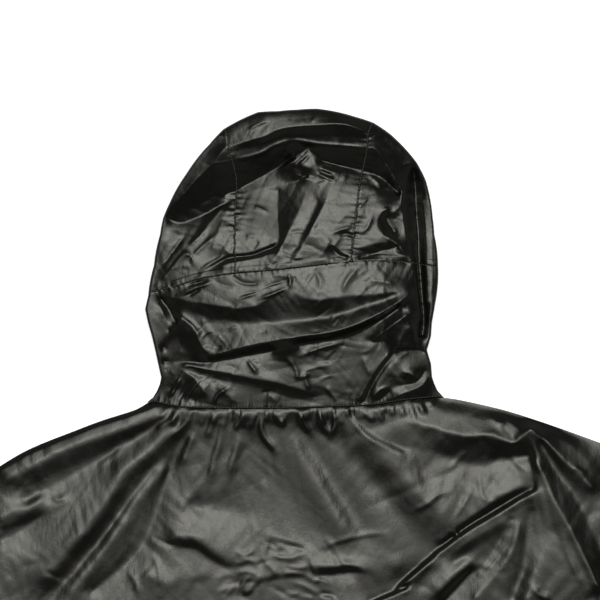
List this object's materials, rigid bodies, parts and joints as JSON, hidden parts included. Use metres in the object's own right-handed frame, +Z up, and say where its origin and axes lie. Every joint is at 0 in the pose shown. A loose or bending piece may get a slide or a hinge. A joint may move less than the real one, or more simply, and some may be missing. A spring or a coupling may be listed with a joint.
{
  "type": "hooded windbreaker laid face down",
  "caption": "Thin coated hooded windbreaker laid face down, back and panelled hood uppermost, sleeves spread, front closed by a zip.",
  "frame": {"origin": "middle of the bounding box, on the floor that the garment lies on", "axes": "+Z up from the floor, +Y from the hem to the top of the hood, +X to the right as seen from above the back; the spread sleeves make X the longest extent"},
  "size_m": [1.341, 0.9752, 0.0397],
  "materials": {
    "coated_cloth": "dark olive-grey plain-woven nylon with a satin-shiny coating",
    "zip_tape": "black woven zip tape with a nylon coil",
    "zip_metal": "black lacquered zip metal"
  },
  "bodies": {
    "garment": {"back": "coated_cloth", "front_left": "coated_cloth", "front_right": "coated_cloth", "sleeve_left": "coated_cloth", "sleeve_right": "coated_cloth", "hood_lower_back": "coated_cloth", "hood_crown": "coated_cloth", "hood_side_left": "coated_cloth", "hood_side_right": "coated_cloth", "zip_strip": "zip_tape", "zip_slider": "zip_metal"},
    "pull_tab": {"zip_pull": "zip_metal"}
  },
  "joints": [
    {"name": "pull_tab_swing", "type": "hinge", "parent": "garment", "child": "pull_tab", "pos_m": [-0.02499, 0.23771, 0.0006], "axis": [1, 0, 0], "range_deg": [0, 170]}
  ]
}
